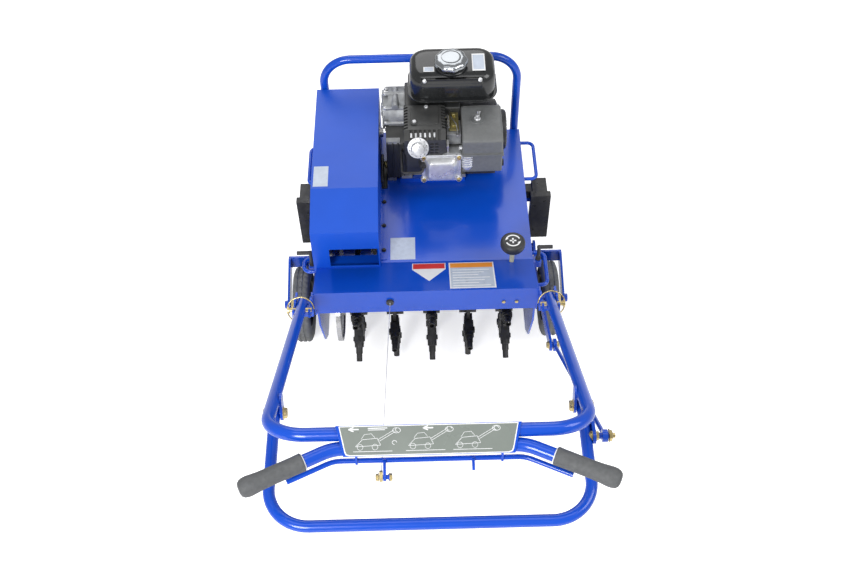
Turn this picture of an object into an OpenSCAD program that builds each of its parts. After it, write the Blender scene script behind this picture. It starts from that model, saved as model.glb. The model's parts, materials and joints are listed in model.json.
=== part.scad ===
// Walk-behind core aerator. Millimetres, +X right, +Y forward, +Z up, ground at z = 0.
// The operator stands behind the machine, on the -Y side.

/* [Chassis] */
// Half width of the deck, outside its side lips
deck_half = 268; // [266:0.5:270]
// Height of the deck's top face
deck_z = 345; // [343:0.5:348]
// Rear end of the level deck, where the rear panel starts to rise
fold_y = 142; // [138:1:146]
// Front end of the deck
deck_front = 608; // [606:0.5:609]
// Rear face of the rear flange
flange_y = 6; // [4:0.5:7]
// Height of the rear flange's top edge
flange_top = 400; // [396:1:404]
// Height of the rear flange's lower edge
flange_low = 317; // [314:1:320]
// Sheet thickness of the deck
sheet = 4; // [3.5:0.1:4]

/* [Belt cover] */
// Left face of the belt cover, from the centre line
cover_out = 273.5; // [272:0.5:275]
// Right face of the belt cover, from the centre line
cover_in = 110; // [108:0.5:111]
// Height of the belt cover's top face
cover_z = 505; // [500:1:512]

/* [Tine reel] */
// Reach of the tine tips from the reel's axis
tine_r = 149; // [140:1:150]
// Distance between neighbouring tine discs
tine_pitch = 95.25; // [94:0.25:96]
// Tines on each disc
tines_per_disc = 6; // [5:1:6]
// Height of the reel's axis
reel_z = 160; // [158:1:164]

/* [Wheels] */
// Radius of a rear wheel
rear_r = 101.6; // [98:0.2:103]
// Width of a rear tyre
rear_w = 44; // [40:1:46]
// Rear wheels' mid-planes, from the centre line
rear_x = 328.5; // [326:0.5:330]
// Radius of a front wheel
front_r = 75; // [70:1:78]

/* [Handle] */
// Outside diameter of the main handle tube
tube_d = 25.4; // [24:0.1:26]
// Distance between the handle's side tubes
handle_w = 583; // [581:0.5:585]
// Length of the handle from its pivot to its cross tube
handle_len = 673; // [660:1:680]
// Rise of the handle, in degrees above level
handle_tilt = 32.4; // [31:0.1:34]
// Outside diameter of the lift loop's tube
loop_d = 22.2; // [20:0.1:23]

/* [Hidden] */
$fn = 48;

BLUE = [0.05, 0.16, 0.72];
BLACK = [0.07, 0.07, 0.08];
STEEL = [0.6, 0.61, 0.62];
ALLOY = [0.72, 0.73, 0.74];
ZINC = [0.78, 0.7, 0.45];
RUBBER = [0.25, 0.26, 0.27];

// The machine's own stations: [y, z] of each axis, before the whole is centred on y = 0
reel = [154, reel_z];
rear_axle = [206, rear_r];
front_wheel_axis = [530, front_r];
lift_axis = [345, 150];
bell_axis = [64, 255];
bell_link = [-106, 325];
bell_push = [228, 122];
crank = [490, 457];
jack = [330, 300];
fold = [-13, 386];
loop_axis = [-471, 643];
loop_link = [-539, 645];
bar_y = 622;
plate_in = 260;
plate_out = 265;
rear_end = -714.1;
front_end = bar_y + loop_d / 2;
shift_y = -(rear_end + front_end) / 2;

// ---- Shared shapes ----

// Puts a piece given in machine stations into the centred frame
module placed() translate([0, shift_y, 0]) children();

// Extrudes a side-view outline, drawn as [y, z], from x = a to x = b
module slab(a, b) translate([a, 0, 0]) rotate([90, 0, 90]) linear_extrude(b - a) children();

// Round bar along X at station p = [y, z]
module xrod(r, a, b, p) translate([a, p[0], p[1]]) rotate([0, 90, 0]) cylinder(r = r, h = b - a);

// Round bar between two points
module strut(p, q, r) {
    d = q - p;
    len = norm(d);
    translate(p) rotate([0, acos(d[2] / len), atan2(d[1], d[0])]) cylinder(r = r, h = len);
}

// Cross-section of a tube, or of a solid rod where wall is 0
module ring(od, wall) difference() {
    circle(d = od);
    if (wall > 0) circle(d = od - 2 * wall);
}

// U-shaped tube in the XY plane: legs from y = 0, closed end at y = len
module u_tube(width, len, bend, od, wall) {
    for (s = [0, 1]) mirror([s, 0, 0]) {
        translate([width / 2, 0, 0]) rotate([-90, 0, 0]) linear_extrude(len - bend) ring(od, wall);
        translate([width / 2 - bend, len - bend, 0])
            rotate_extrude(angle = 90) translate([bend, 0]) ring(od, wall);
    }
    translate([-(width / 2 - bend), len, 0]) rotate([0, 90, 0])
        linear_extrude(width - 2 * bend) ring(od, wall);
}

// Flat link seen from the side: a strip with round ends around stations p and q. Its sides lie
// just inside the ends' tangents, so that they cross the arcs cleanly
module strip2d(p, q, h) {
    d = q - p;
    w = h - 0.5;
    translate(p) rotate(atan2(d[1], d[0])) translate([0, -w / 2]) square([norm(d), w]);
    translate(p) circle(d = h);
    translate(q) circle(d = h);
}

// Hexagon bolt head along X
module hex_x(flats, a, b, p) translate([a, p[0], p[1]]) rotate([0, 90, 0])
    cylinder(d = flats / cos(30), h = b - a, $fn = 6);

// Both sides of the machine
module both() for (s = [0, 1]) mirror([s, 0, 0]) children();

// ---- Chassis ----

// The rear panel's top face at station y
function panel_z(y) = deck_z + (fold_y - y) * (flange_top - deck_z) / (fold_y - flange_y);

module side_plates() placed() color(BLUE) difference() {
    both() side_plate();
    // Opening for the jackshaft, on the left only
    xrod(13, -plate_out - 1, -plate_in + 1, jack);
}
module side_plate() {
    difference() {
        slab(plate_in, plate_out) polygon([[14.5, panel_z(14.5) - sheet - 1], [14.5, 262], [60, 140],
            [105, 96], [470, 96], [500, 50], [560, 50], [604, 110], [604, deck_z - sheet],
            [fold_y, deck_z - sheet]]);
        xrod(20, plate_in - 1, plate_out + 1, reel);
        xrod(14.5, plate_in - 1, plate_out + 1, lift_axis);
        xrod(8.5, plate_in - 1, plate_out + 1, front_wheel_axis);
    }
    slab(plate_in - 25, plate_in) polygon([[560, 120], [600, 120], [600, 124], [560, 124]]);
    // Hanger that carries a side weight
    translate([plate_out, 416, 258]) cube([27, 46, 6]);
    translate([plate_out, 416, 264]) cube([6, 46, 30]);
}

module front_panel() placed() color(BLUE)
    translate([-plate_in, 604, 110]) cube([2 * plate_in, 4, deck_z - sheet - 110]);

module deck() placed() color(BLUE) difference() {
    union() {
        slab(-deck_half + 3, deck_half - 3) polygon([[deck_front, deck_z], [fold_y, deck_z],
            [flange_y, flange_top], [flange_y, 341], [flange_y + 4, 337],
            [flange_y + 4, flange_low], [flange_y + 8, flange_low], [flange_y + 8, 339],
            [flange_y + 4, 343], [flange_y + 4, panel_z(flange_y + 4) - sheet * 1.08],
            [fold_y, deck_z - sheet], [deck_front, deck_z - sheet]]);
        both() slab(deck_half - 3, deck_half) polygon([[deck_front, deck_z], [fold_y, deck_z],
            [flange_y, flange_top], [flange_y, flange_low], [30, flange_low], [60, 310],
            [deck_front, 316]]);
        // Rails under the engine's feet
        for (y = [430, 530]) translate([-60, y - 14, deck_z]) cube([170, 28, 12]);
    }
    // Opening for the belt and chain under the belt cover
    translate([-255, 168, deck_z - sheet - 1]) cube([135, 420, sheet + 2]);
    // Opening for the lock knob's rod
    translate([214, 134, deck_z - 10]) cylinder(r = 6.4, h = 30);
    // Hole for the clutch cable's grommet
    translate([-86, 0, 362.5]) rotate([-90, 0, 0]) cylinder(r = 6.05, h = 20);
    for (x = [186, 217]) translate([x, 0, 352]) rotate([-90, 0, 0]) cylinder(r = 3.2, h = 20);
}

module front_bar() placed() color(BLUE) {
    translate([0, bar_y, 130]) rotate([90, 0, 0]) u_tube(508, 460, 75, loop_d, 2);
    // Saddles that weld the bar to the front panel
    both() for (z = [160, 300]) difference() {
        translate([240, 608, z]) cube([28, 12, 24]);
        translate([254, bar_y, z - 1]) cylinder(r = loop_d / 2 - 0.4, h = 26);
    }
}

// Side outline of the belt cover, set in by t
module cover_outline(t) polygon([[607 - t, 322 - t], [607 - t, cover_z - t],
    [247 + t * 0.15, cover_z - t], [133 + t * 0.8, 470 - t * 0.9], [124 + t, 405 - t * 0.2],
    [124 + t, 340], [170, 322 - t]]);

module belt_cover() placed() color(BLUE) difference() {
    slab(-cover_out, -cover_in) cover_outline(0);
    slab(-cover_out + 3, -cover_in - 3) cover_outline(3);
    // Clear of the deck and its side lip, which the cover straps over
    translate([-deck_half - 0.5, 100, 280]) cube([deck_half, 520, deck_z + 0.2 - 280]);
    slab(-deck_half - 0.5, 0) polygon([[100, 280], [180, 280], [180, deck_z],
        [fold_y, deck_z + 0.2], [100, panel_z(100) + 0.2]]);
    xrod(24, -cover_in - 4, -cover_in + 1, crank);
    // Clear of the left latch's block
    translate([-275, 136.5, 317]) cube([8, 19, 24]);
    // Opening low in the cover's rear wall
    translate([-232, 110, 356]) cube([119, 22, 62]);
}

// D-shaped lifting handle of round rod, from x = a out to x = b, between stations y0 and y1
module d_handle(a, b, y0, y1, z) {
    r = 4.75;
    bend = 16;
    for (y = [y0, y1]) translate([a, y, z]) rotate([0, 90, 0]) cylinder(r = r, h = b - a - bend);
    translate([b - bend, y1 - bend, z]) rotate_extrude(angle = 90) translate([bend, 0]) circle(r = r);
    translate([b - bend, y0 + bend, z]) rotate([0, 0, -90])
        rotate_extrude(angle = 90) translate([bend, 0]) circle(r = r);
    translate([b, y0 + bend, z]) rotate([-90, 0, 0]) cylinder(r = r, h = y1 - y0 - 2 * bend);
}

module lift_handles() placed() color(BLUE) {
    d_handle(deck_half, 302, 428, 564, 334);
    d_handle(deck_half, 299, 68, 170, 334);
    mirror([1, 0, 0]) {
        d_handle(cover_out, 304, 428, 564, 334);
        d_handle(cover_out, 301, 68 + 60, 170, 334);
    }
}

module side_weights() placed() color(BLACK) both() {
    translate([286, 395, 135]) cube([54, 20, 165]);
    translate([292, 415, 264]) cube([40, 50, 36]);
    translate([274, 424, 264]) cube([18, 30, 26]);
}

// Handle bracket: two ears with a notch for the lock pin, and the strap between them
module ear2d() difference() {
    union() {
        circle(r = 18);
        rotate(180 - handle_tilt) translate([0, -5]) square([56, 19]);
        translate([-6, -42]) square([40, 44]);
    }
    circle(r = 6.1);
    rotate(180 - handle_tilt) {
        translate([40, 0]) circle(r = 5.4);
        translate([34.6, -20]) square([10.8, 20]);
    }
}

module handle_brackets() placed() color(BLUE) both() {
    slab(deck_half, deck_half + 5) translate(fold) ear2d();
    slab(304.9, 309.9) translate(fold) ear2d();
    translate([deck_half + 5, fold[0] - 6, fold[1] - 42]) cube([31.9, 40, 5]);
    xrod(6, deck_half + 5, 304.9, fold);
    hex_x(17, 309.9, 317, fold);
    // Pivot block of the latch lever
    difference() {
        translate([274, 137, 318]) cube([15, 18, 22]);
        translate([281, 146, 300]) cylinder(r = 4.6, h = 50);
    }
    translate([deck_half, 137, 318]) cube([6, 18, 22]);
}

// ---- Running gear ----

// Flange bearing with its bore, on the plane x = a, reaching to x = b
module bearing(a, b, p, bore, od) difference() {
    union() {
        xrod(od / 2, a, b, p);
        slab(a, a + 5) translate(p) square([od + 20, od - 6], center = true);
    }
    xrod(bore, a - 1, b + 1, p);
}

module bearings() placed() color(STEEL) {
    both() bearing(plate_out + 0.01, 284, reel, 16.05, 52);
    both() difference() {
        union() {
            xrod(14.4, plate_in - 6, plate_out + 6, lift_axis);
            xrod(20, plate_out, plate_out + 6, lift_axis);
        }
        xrod(12.55, plate_in - 7, plate_out + 7, lift_axis);
    }
    mirror([1, 0, 0]) bearing(241, plate_in, jack, 12.05, 44);
    difference() {
        xrod(19, -106, -92, jack);
        xrod(12.05, -107, -91, jack);
    }
}

module drive_bracket() placed() color(BLUE) {
    difference() {
        union() {
            slab(-104, -94) translate([jack[0] - 26, jack[1] - 24])
                square([52, deck_z - sheet - jack[1] + 24]);
            translate([-118, jack[0] - 26, deck_z - sheet - 6]) cube([34, 52, 6]);
        }
        xrod(19, -107, -90, jack);
    }
    // Idler bracket, standing on the deck inside the belt cover
    difference() {
        slab(-119.5, -114) polygon([[524, deck_z], [589, deck_z], [570, 424], [536, 424]]);
        xrod(5, -121, -112, [552, 404]);
    }
    xrod(5, -151, -114, [552, 404]);
}

module front_axle() placed() color(STEEL) {
    xrod(8.45, -272, 272, front_wheel_axis);
    both() hex_x(19, 272, 280, front_wheel_axis);
    both() xrod(13, 224, 259, front_wheel_axis);
}

module wheel_tyre(r, w, rim) rotate([0, 90, 0]) difference() {
    union() {
        cylinder(r = r, h = w - 12, center = true);
        cylinder(r = r - 6, h = w, center = true);
    }
    cylinder(r = rim, h = w + 2, center = true);
}

module wheel_rim(r, w, bore) rotate([0, 90, 0]) difference() {
    union() {
        difference() {
            cylinder(r = r, h = w, center = true);
            for (s = [0, 1]) mirror([0, 0, s]) translate([0, 0, 5]) cylinder(r = r - 6, h = w);
        }
        cylinder(r = 18, h = w + 12, center = true);
    }
    cylinder(r = bore, h = w + 20, center = true);
    for (a = [0:60:300]) rotate(a + 30) translate([r * 0.62, 0, 0]) cylinder(r = 8, h = w, center = true);
}

module rear_tyre(s) placed() color(RUBBER) translate([s * rear_x, rear_axle[0], rear_axle[1]])
    wheel_tyre(rear_r, rear_w, 66);
module rear_rim(s) placed() color(BLACK) translate([s * rear_x, rear_axle[0], rear_axle[1]])
    wheel_rim(66, 36, 8.05);
module rear_tyre_left() rear_tyre(-1);
module rear_tyre_right() rear_tyre(1);
module rear_rim_left() rear_rim(-1);
module rear_rim_right() rear_rim(1);

module front_wheel(s) placed() color(RUBBER)
    translate([s * 200, front_wheel_axis[0], front_wheel_axis[1]]) rotate([0, 90, 0]) difference() {
        union() {
            cylinder(r = front_r, h = 30, center = true);
            cylinder(r = front_r - 5, h = 40, center = true);
            cylinder(r = 20, h = 46, center = true);
        }
        for (m = [0, 1]) mirror([0, 0, m]) translate([0, 0, 12]) difference() {
            cylinder(r = front_r - 22, h = 20);
            cylinder(r = 20, h = 20);
        }
        cylinder(r = 8.52, h = 60, center = true);
    }
module front_wheel_left() front_wheel(-1);
module front_wheel_right() front_wheel(1);

module lift_frame() placed() color(BLUE) {
    xrod(12.5, -302, 302, lift_axis);
    both() {
        difference() {
            slab(296, 302) strip2d(rear_axle, lift_axis, 40);
            xrod(8, 290, 310, rear_axle);
        }
        difference() {
            slab(366, 372) strip2d(rear_axle, [318, 140], 40);
            xrod(8, 360, 380, rear_axle);
        }
        slab(302, 366) translate([320, 121]) square([6, 40]);
        xrod(8, 296, 380, rear_axle);
        hex_x(19, 372, 381, rear_axle);
    }
    // Pin that the bellcrank pushes
    xrod(6, 285, 297, bell_push);
}

// Station p turned by a degrees about station c
function turned(p, c, a) = c + [(p - c) * [cos(a), -sin(a)], (p - c) * [sin(a), cos(a)]];

// How far the wheels lift, and the share of it that the bellcrank turns
lift_angle = 35;
bell_share = 0.51;
// Where the push pin sits in the bellcrank once the wheel frame has turned by a
function push_at(a) = turned(turned(bell_push, lift_axis, -a), bell_axis, -bell_share * a);

module lift_bellcrank() placed() color(BLUE) {
    difference() {
        union() {
            slab(287, 293) strip2d(bell_link, bell_axis, 28);
            slab(287, 293) strip2d(bell_axis, push_at(lift_angle), 28);
            slab(287, 293) strip2d(push_at(lift_angle), bell_push, 30);
        }
        xrod(8.05, 280, 300, bell_axis);
        // Slot that the push pin runs along
        for (a = [0:2.5:lift_angle]) xrod(7.6, 280, 300, push_at(a));
    }
    xrod(6, 293, 306, bell_link);
    hex_x(13, 283, 287, bell_link);
}

// ---- Tine reel ----

disc_x = [for (k = [-2:2]) 13 + k * tine_pitch];
function phase(i) = (i % 2 == 0) ? 30 : 0;

// Repeats a radial piece at every tine position; the piece points along +Z
module at_tines() for (i = [0:4], t = [0:tines_per_disc - 1])
    translate([disc_x[i], reel[0], reel[1]])
        rotate([phase(i) + t * 360 / tines_per_disc - 90, 0, 0]) children();

module reel_shaft() placed() color(STEEL) xrod(16, -284, 284, reel);

module tine_discs() placed() color(BLACK) for (x = disc_x) difference() {
    union() {
        xrod(27, x - 22, x + 22, reel);
        xrod(62, x - 4, x + 4, reel);
    }
    xrod(16, x - 30, x + 30, reel);
}

module tine_holders() placed() color(BLACK) at_tines() difference() {
    union() {
        for (s = [0, 1]) mirror([s, 0, 0]) translate([4, -11, 44]) cube([6, 22, 28]);
        translate([-12, -12, 68]) cube([24, 24, 34]);
        translate([-15, -6, 84]) cube([30, 12, 12]);
        translate([0, 0, 102]) cylinder(r = 12, h = 10);
    }
    translate([0, 0, 80]) cylinder(r = 9, h = 60);
}

module tines() placed() color(BLACK) at_tines() difference() {
    union() {
        translate([0, 0, 80]) cylinder(r = 8.95, h = 48);
        translate([0, 0, 128]) cylinder(r = 7.6, h = tine_r - 128);
    }
    translate([0, 0, 104]) cylinder(r = 5.6, h = 60);
    translate([-4, -14, 112]) cube([8, 12, 20]);
}

module sprocket(x, p, r, teeth, w, bore) difference() {
    union() {
        xrod(r - 4, x - w / 2, x + w / 2, p);
        slab(x - w / 2, x + w / 2) translate(p)
            for (t = [0:teeth - 1]) rotate(t * 360 / teeth) translate([r - 6, -2]) square([6, 4]);
        xrod(bore + 10, x - w / 2 - 8, x + w / 2 + 8, p);
    }
    xrod(bore, x - 20, x + 20, p);
}

module reel_sprocket() placed() color(STEEL) sprocket(-225, reel, 85, 36, 6, 16);

// ---- Drive ----

module v_pulley(x, p, r, w, bore) difference() {
    union() {
        for (s = [0, 1]) translate([x, p[0], p[1]]) mirror([s, 0, 0]) rotate([0, 90, 0])
            cylinder(r1 = r - 11, r2 = r, h = w / 2);
        xrod(bore + 9, x - w / 2 - 5, x + w / 2 + 3, p);
    }
    xrod(bore, x - 30, x + 30, p);
    if (r > 80) for (a = [0:60:300]) translate([x, p[0], p[1]]) rotate([a, 0, 0])
        translate([0, 0, r * 0.56]) rotate([0, 90, 0]) cylinder(r = 17, h = 60, center = true);
}

belt_x = -130;
pulley_a = 38;
pulley_b = 92;

module drive_pulley() placed() color(STEEL) {
    v_pulley(belt_x, crank, pulley_a, 20, 12);
    xrod(12, -147, -100, crank);
}

module jackshaft() placed() color(STEEL) {
    xrod(12, plate_in * -1 - 3, -90, jack);
    v_pulley(belt_x, jack, pulley_b, 20, 12);
    sprocket(-225, jack, 30, 12, 6, 12);
}

// Flat loop around two circles at stations p and q, as a side view, t wide
module belt2d(p, rp, q, rq, t) difference() {
    loop2d(p, rp + t, q, rq + t);
    loop2d(p, rp, q, rq);
}
module loop2d(p, rp, q, rq) {
    d = q - p;
    len = norm(d);
    a = acos((rp - rq) / len);
    base = atan2(d[1], d[0]);
    // The straights run just inside the tangents, so that they cross the arcs cleanly
    u = rp - 0.3;
    v = rq - 0.3;
    translate(p) circle(r = rp);
    translate(q) circle(r = rq);
    polygon([p + u * [cos(base + a), sin(base + a)], q + v * [cos(base + a), sin(base + a)],
        q + v * [cos(base - a), sin(base - a)], p + u * [cos(base - a), sin(base - a)]]);
}

module drive_belt() placed() color(RUBBER)
    slab(belt_x - 4, belt_x + 4) belt2d(crank, pulley_a - 4, jack, pulley_b - 4, 7);

module drive_chain() placed() color(STEEL) slab(-231, -219) belt2d(jack, 30.4, reel, 85.4, 8);

idler_pin = [552, 404];
idler_at = [506, 326];

module idler_arm() placed() color(STEEL) {
    difference() {
        slab(-150, -144) strip2d(idler_at, idler_pin, 24);
        xrod(5.1, -155, -140, idler_pin);
    }
    xrod(5, -144, -122, idler_at);
    hex_x(13, -155, -150, idler_at);
    // Stud that the clutch cable hooks on
    xrod(4, -144, -132, idler_at + [16, 27]);
}

module idler_pulley() placed() color(BLACK) difference() {
    xrod(24, -140, -122, idler_at);
    xrod(5.1, -141, -120, idler_at);
}

// ---- Engine ----

// Plan outline with round corners, centred
module round_rect(w, h, r) {
    square([w - 2 * r, h], center = true);
    square([w, h - 2 * r], center = true);
    for (x = [-1, 1], y = [-1, 1]) translate([x * (w / 2 - r), y * (h / 2 - r)]) circle(r = r);
}

deck_rail = deck_z + 12;
blower_r = 80;

module crankcase() placed() color(ALLOY) {
    difference() {
        slab(-40, 96) polygon([[430, deck_rail], [556, deck_rail], [562, 400], [560, 520],
            [530, 560], [474, 560], [446, 520], [430, 480]]);
        xrod(30, -42, -32, crank);
    }
    for (x = [-56, 84]) translate([x, 418, deck_rail]) cube([28, 138, 10]);
    translate([60, 545, 400]) rotate([-60, 0, 0]) cylinder(r = 13, h = 36);
    for (x = [0, 60]) translate([x, 490, 560]) cube([30, 40, 8]);
}

// Places a piece along the barrel's axis, which leans a little above level to the rear
module on_barrel() translate([47, crank[0], crank[1]]) rotate([85, 0, 0]) children();

module cylinder_barrel() placed() color(ALLOY) on_barrel() {
    translate([0, 0, 64]) cylinder(r = 34, h = 52);
    for (i = [0:5]) translate([-42 - (i % 2) * 2, -36, 68 + i * 8]) cube([84 + (i % 2) * 4, 72, 3.6]);
    translate([-48, -46, 114]) cube([96, 84, 24]);
}

module valve_cover() placed() color(ALLOY) on_barrel() {
    translate([0, -5, 138]) linear_extrude(5) round_rect(104, 86, 12);
    translate([0, -5, 143]) linear_extrude(19) round_rect(80, 68, 14);
    for (x = [-44, 44], y = [-41, 31]) translate([x, y, 143]) cylinder(d = 10, h = 6);
}

module fuel_tank() placed() color(BLACK) {
    intersection() {
        translate([79, 523, 568]) linear_extrude(92) round_rect(214, 130, 34);
        slab(-40, 200) polygon([[478, 568], [576, 568], [586, 590], [586, 646], [574, 660],
            [474, 660], [457, 646], [458, 592], [468, 577.5]]);
    }
    translate([79, 523, 584]) linear_extrude(6) round_rect(222, 138, 38);
    translate([76, 503, 658]) cylinder(r = 30, h = 10);
}

module fuel_cap() placed() color(ALLOY) translate([76, 503, 668.4]) {
    cylinder(r = 38, h = 12);
    translate([0, 0, 12]) cylinder(r1 = 38, r2 = 31, h = 8);
    for (a = [0:45:315]) rotate(a) translate([35, 0, 0]) cylinder(r = 6, h = 14);
}

module air_cleaner() placed() color(BLACK) difference() {
    union() {
        slab(99.3, 200) polygon([[349, 440], [382, 437], [402, 452], [475, 500], [475, 552], [466, 560],
            [360, 560], [349, 548]]);
        slab(99.3, 204) polygon([[345, 492], [470, 500], [470, 506], [345, 498]]);
    }
    xrod(blower_r + 2, 90, 210, crank);
}

module air_cleaner_nut() placed() color(ZINC) translate([139, 420, 560.4]) {
    cylinder(r = 9, h = 6);
    translate([-14, -2, 4]) cube([28, 4, 9]);
}

module carburettor() placed() color(ALLOY) {
    translate([62, 386, 508]) cube([35, 50, 34]);
    translate([80, 411, 504]) cylinder(r = 14, h = 4);
    translate([70, 425, 542]) cylinder(r = 4, h = 3);
    translate([88, 398, 542]) cylinder(r = 4, h = 3);
}

module throttle_lever() placed() color(STEEL) translate([70, 425, 545.3]) {
    cylinder(r = 5, h = 2.5);
    translate([-3, -26, 0]) cube([6, 26, 2.5]);
}

module choke_lever() placed() color(STEEL) translate([88, 398, 545.3]) {
    cylinder(r = 5, h = 2.5);
    translate([-3, -24, 0]) cube([6, 24, 2.5]);
}

module muffler_guard() placed() color(BLACK) difference() {
    union() {
        slab(-44, 59) polygon([[352, 508], [436, 508], [446, 524], [466, 553], [466, 568],
            [458, 575], [362, 575], [350, 562], [350, 512]]);
        translate([-38, 380, 500]) cube([36, 44, 9]);
    }
    for (i = [0:4]) translate([-26 + i * 17, 362, 560]) cylinder(r = 4.5, h = 30);
    for (i = [0:8], x = [-46, 56]) translate([x, 368 + i * 10, 552]) cube([6, 5, 30]);
    // Hollow under the skin, where the silencer's can sits
    slab(-40, 55) polygon([[356, 512], [434, 512], [444, 527], [462, 553], [462, 568],
        [366, 571], [356, 560]]);
    // Opening for the deflector
    translate([-10, 350, 536]) rotate([62, 0, 0]) {
        translate([0, 0, -15]) cylinder(r = 14.5, h = 40);
        translate([0, 0, 5.5]) cylinder(r = 28, h = 30);
    }
}

module exhaust_deflector() placed() color(ALLOY) translate([-10, 350, 536]) rotate([62, 0, 0]) {
    cylinder(r = 14, h = 10);
    translate([0, 0, 6]) cylinder(r1 = 18, r2 = 27, h = 10);
}

rope_x = 188;

module starter_housing() placed() color(BLACK) difference() {
    union() {
        xrod(blower_r, 97, 194, crank);
        xrod(52, 194, 218, crank);
        slab(113, 190) translate([crank[0] - 60, deck_rail]) square([120, 40]);
    }
    xrod(30, 214, 220, crank);
    translate([rope_x, crank[0], crank[1]]) rotate([110, 0, 0]) cylinder(r = 3.5, h = 90);
}

module starter_grip() placed() color(BLACK)
    translate([rope_x, crank[0], crank[1]]) rotate([110, 0, 0]) {
        translate([0, 0, 8]) cylinder(r = 2.5, h = 75);
        translate([0, 0, 81.5]) cylinder(r = 9, h = 10);
        translate([-20, 0, 94]) rotate([0, 90, 0]) cylinder(r = 9, h = 40);
    }

gear_at = [530, 500];

module gearbox() placed() color(ALLOY) difference() {
    union() {
        xrod(54, -84, -40.5, gear_at);
        xrod(45, -98, -84, gear_at);
        for (a = [0:45:315]) xrod(6, -90, -41, gear_at + 52 * [cos(a), sin(a)]);
        slab(-92, -56.5) polygon([[424, deck_rail], [560, deck_rail], [560, 368], [520, 470],
            [480, 490], [440, 470], [428, 400]]);
        translate([-92, 424, deck_rail - 12]) cube([22, 136, 12]);
    }
    xrod(12.1, -110, -40, crank);
}

// ---- Handle ----

handle_dir = [-cos(handle_tilt), sin(handle_tilt)];
cross_at = fold + handle_len * handle_dir;
horn_at = cross_at + [-21.9, -13.1];
horn_corner = 170;
horn_turn = 25.8;
bail_at = horn_at + [-8, -30];

// Handlebar line: straight across the middle, then swept back on each side
module horn(od, wall, bend, reach) {
    cut = bend * tan(horn_turn / 2);
    half = horn_corner - cut;
    translate([-half, 0, 0]) rotate([0, 90, 0]) linear_extrude(2 * half) ring(od, wall);
    both() {
        translate([half, -bend, 0]) rotate(90 - horn_turn)
            rotate_extrude(angle = horn_turn) translate([bend, 0]) ring(od, wall);
        translate([half - 1, 0, 0]) rotate([0, 90, 0]) collar(od, wall);
        translate([half + bend * sin(horn_turn), -bend + bend * cos(horn_turn), 0])
            rotate([0, 90, -horn_turn]) {
                linear_extrude(reach) ring(od, wall);
                translate([0, 0, -1]) collar(od, wall);
            }
    }
}

// Slight bead where a bend runs into a straight
module collar(od, wall) linear_extrude(2) ring(od + 0.4, wall > 0 ? wall + 0.4 : 0);

module handle_frame() placed() color(BLUE) {
    difference() {
        union() {
            translate([0, fold[0], fold[1]]) rotate([180 - handle_tilt, 0, 0])
                translate([0, -14, 0]) u_tube(handle_w, handle_len + 14, 76, tube_d, 2.2);
            // Plates that carry the lift loop's bolts
            both() slab(275, 280) strip2d(loop_axis, loop_axis + [12, 25], 28);
        }
        both() {
            xrod(6.1, 270, 310, fold);
            xrod(5.1, 270, 310, fold + 40 * handle_dir);
            xrod(5.95, 274, 281, loop_axis);
        }
    }
    both() {
        xrod(5.95, 268, 306, loop_axis);
        hex_x(17, 306, 313, loop_axis);
        hex_x(17, 268, 275, loop_axis);
    }
}

module handlebar() placed() color(BLUE) {
    translate([0, horn_at[0], horn_at[1]]) horn(tube_d, 2.2, 90, 146);
    both() difference() {
        slab(127, 131) strip2d(horn_at + [0, -9], bail_at, 15);
        xrod(4.85, 120, 140, bail_at);
        xrod(tube_d / 2 - 1, 120, 140, horn_at);
    }
}

// Lies along both tubes, from the cross tube back to the handlebar
module handle_plate() placed() color(BLUE) {
    d = (horn_at - cross_at) / norm(horn_at - cross_at);
    tilt = atan2(-d[1], -d[0]);
    mid = (horn_at + cross_at) / 2;
    translate([0, mid[0], mid[1]]) rotate([tilt, 0, 0]) {
        translate([0, 0, tube_d / 2 + 0.05]) linear_extrude(2.5)
            polygon([[-163, 27], [-150, -27], [150, -27], [163, 27]]);
    }
}

module grips() placed() color(RUBBER) translate([0, horn_at[0], horn_at[1]]) both()
    translate([horn_corner, 0, 0]) rotate([0, 90, -horn_turn]) {
        difference() {
            union() {
                translate([0, 0, 56]) cylinder(r = 16.4, h = 110);
                translate([0, 0, 56]) cylinder(r = 18, h = 8);
                translate([0, 0, 150]) cylinder(r = 18.2, h = 20);
                translate([0, 0, 170]) cylinder(r1 = 18.2, r2 = 13, h = 5);
            }
            translate([0, 0, 50]) cylinder(r = tube_d / 2, h = 117);
        }
    }

module clutch_bail() placed() color(BLUE) {
    translate([0, bail_at[0], bail_at[1]]) horn(9.5, 0, 60, 76);
    difference() {
        slab(-82, -77) strip2d(bail_at + [-4, -1], bail_at + [-29, -9], 14);
        xrod(4.6, -83, -76, bail_at);
    }
    slab(75, 80) difference() {
        strip2d(bail_at + [-4, 0], bail_at + [-16, -4], 12);
        translate(bail_at) circle(r = 4.6);
    }
    xrod(4, -93, -73, bail_at + [-29, -9]);
    hex_x(11, -73, -69, bail_at + [-29, -9]);
}

// Taut run from the bail's lever to the grommet, then under the deck to the idler arm
cable_route = [[-86, bail_at[0] - 29, bail_at[1] - 9], [-86, -4, 362.5], [-86, 16, 362.5],
    [-87, 60, 345], [-88, 150, 331], [-88, 430, 331], [-92, 535, 331], [-128, 548, 338],
    [-131, 533, 351], [-129.3, 522, 353]];
module clutch_cable() placed() color(BLACK) {
    n = len(cable_route);
    for (i = [0:n - 2]) strut(cable_route[i] + (i == 0 ? [0, 6, -3.3] : [0, 0, 0]),
        cable_route[i + 1], 1.7);
    for (i = [1:n - 1]) translate(cable_route[i]) sphere(r = 2.3);
}

module cable_grommet() placed() color(BLACK) translate([-86, 0.5, 362.5]) rotate([-90, 0, 0])
    difference() {
        union() {
            cylinder(r = 9, h = 5.5);
            cylinder(r = 6, h = 12);
        }
        translate([0, 0, -1]) cylinder(r = 2.6, h = 20);
    }

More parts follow.
